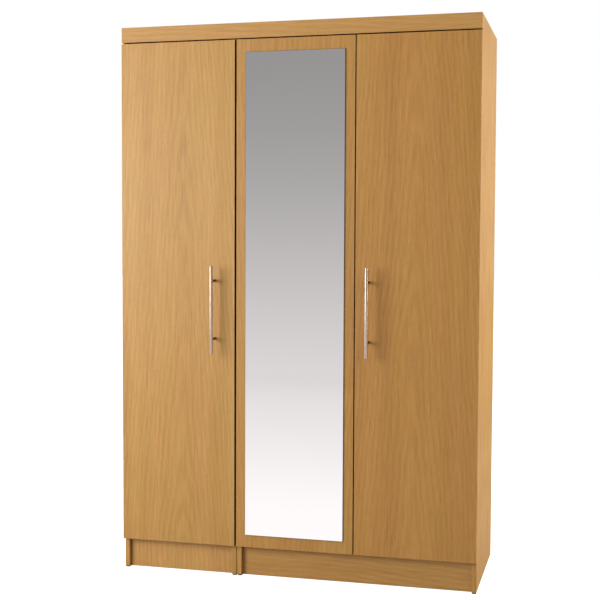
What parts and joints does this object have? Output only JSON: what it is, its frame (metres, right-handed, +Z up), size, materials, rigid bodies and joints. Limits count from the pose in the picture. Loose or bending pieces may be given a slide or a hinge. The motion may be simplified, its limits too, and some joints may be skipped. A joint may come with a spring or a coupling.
{
  "type": "wardrobe with doors",
  "caption": "Free-standing wardrobe with hinged doors, one with a mirror, over two joined carcasses with shelves and a hanging rail.",
  "frame": {"origin": "on the floor, in the middle of the whole object's box, handles included", "axes": "+X towards the right side as seen from the front, +Y towards the back, +Z up; the doors face -Y"},
  "size_m": [1.2, 0.55, 1.83],
  "materials": {
    "carcass_board": "satin beech-effect foil on chipboard",
    "door_board": "satin beech-effect foil on chipboard, long grain upright",
    "hardboard": "printed hardboard, matt",
    "glide_plastic": "matt",
    "strip_plastic": "matt",
    "nickel_plate": "nickel-plated pressed steel",
    "zinc_casting": "plated zinc casting",
    "chrome_plate": "polished",
    "brushed_steel": "brushed along the bar",
    "mirror": "silvered float glass"
  },
  "bodies": {
    "carcass": {"frieze": "door_board", "left_door_hinge_arm_1": "nickel_plate", "left_door_hinge_arm_2": "nickel_plate", "left_door_hinge_arm_3": "nickel_plate", "left_unit_back": "hardboard", "left_unit_base": "carcass_board", "left_unit_left_side": "carcass_board", "left_unit_left_side_front_glide": "glide_plastic", "left_unit_left_side_rear_glide": "glide_plastic", "left_unit_plinth": "carcass_board", "left_unit_right_side": "carcass_board", "left_unit_right_side_front_glide": "glide_plastic", "left_unit_right_side_rear_glide": "glide_plastic", "left_unit_shelf_1": "carcass_board", "left_unit_shelf_2": "carcass_board", "left_unit_shelf_3": "carcass_board", "left_unit_top": "carcass_board", "left_unit_top_shelf": "carcass_board", "mirror_door_hinge_arm_1": "nickel_plate", "mirror_door_hinge_arm_2": "nickel_plate", "mirror_door_hinge_arm_3": "nickel_plate", "right_door_hinge_arm_1": "nickel_plate", "right_door_hinge_arm_2": "nickel_plate", "right_door_hinge_arm_3": "nickel_plate", "right_unit_back_left": "hardboard", "right_unit_back_right": "hardboard", "right_unit_back_strip": "strip_plastic", "right_unit_base": "carcass_board", "right_unit_hanging_rail": "chrome_plate", "right_unit_hat_shelf": "carcass_board", "right_unit_left_side": "carcass_board", "right_unit_left_side_front_glide": "glide_plastic", "right_unit_left_side_rear_glide": "glide_plastic", "right_unit_plinth": "carcass_board", "right_unit_rail_socket_left": "zinc_casting", "right_unit_rail_socket_right": "zinc_casting", "right_unit_right_side": "carcass_board", "right_unit_right_side_front_glide": "glide_plastic", "right_unit_right_side_rear_glide": "glide_plastic", "right_unit_top": "carcass_board"},
    "left_door": {"left_door_hinge_cup_1": "nickel_plate", "left_door_hinge_cup_2": "nickel_plate", "left_door_hinge_cup_3": "nickel_plate", "left_door_panel": "door_board", "left_handle_bar": "brushed_steel", "left_handle_lower_post": "brushed_steel", "left_handle_upper_post": "brushed_steel"},
    "mirror_door": {"mirror_door_hinge_cup_1": "nickel_plate", "mirror_door_hinge_cup_2": "nickel_plate", "mirror_door_hinge_cup_3": "nickel_plate", "mirror_door_panel": "door_board", "mirror_glass": "mirror"},
    "right_door": {"right_door_hinge_cup_1": "nickel_plate", "right_door_hinge_cup_2": "nickel_plate", "right_door_hinge_cup_3": "nickel_plate", "right_door_panel": "door_board", "right_handle_bar": "brushed_steel", "right_handle_lower_post": "brushed_steel", "right_handle_upper_post": "brushed_steel"}
  },
  "joints": [
    {"name": "left_door_swing", "type": "hinge", "parent": "carcass", "child": "left_door", "pos_m": [-0.595, -0.219, 0.9395], "axis": [0, 0, -1], "range_deg": [0, 110]},
    {"name": "mirror_door_swing", "type": "hinge", "parent": "carcass", "child": "mirror_door", "pos_m": [-0.191, -0.219, 0.9395], "axis": [0, 0, -1], "range_deg": [0, 110]},
    {"name": "right_door_swing", "type": "hinge", "parent": "carcass", "child": "right_door", "pos_m": [0.595, -0.219, 0.9395], "axis": [0, 0, 1], "range_deg": [0, 110]}
  ]
}
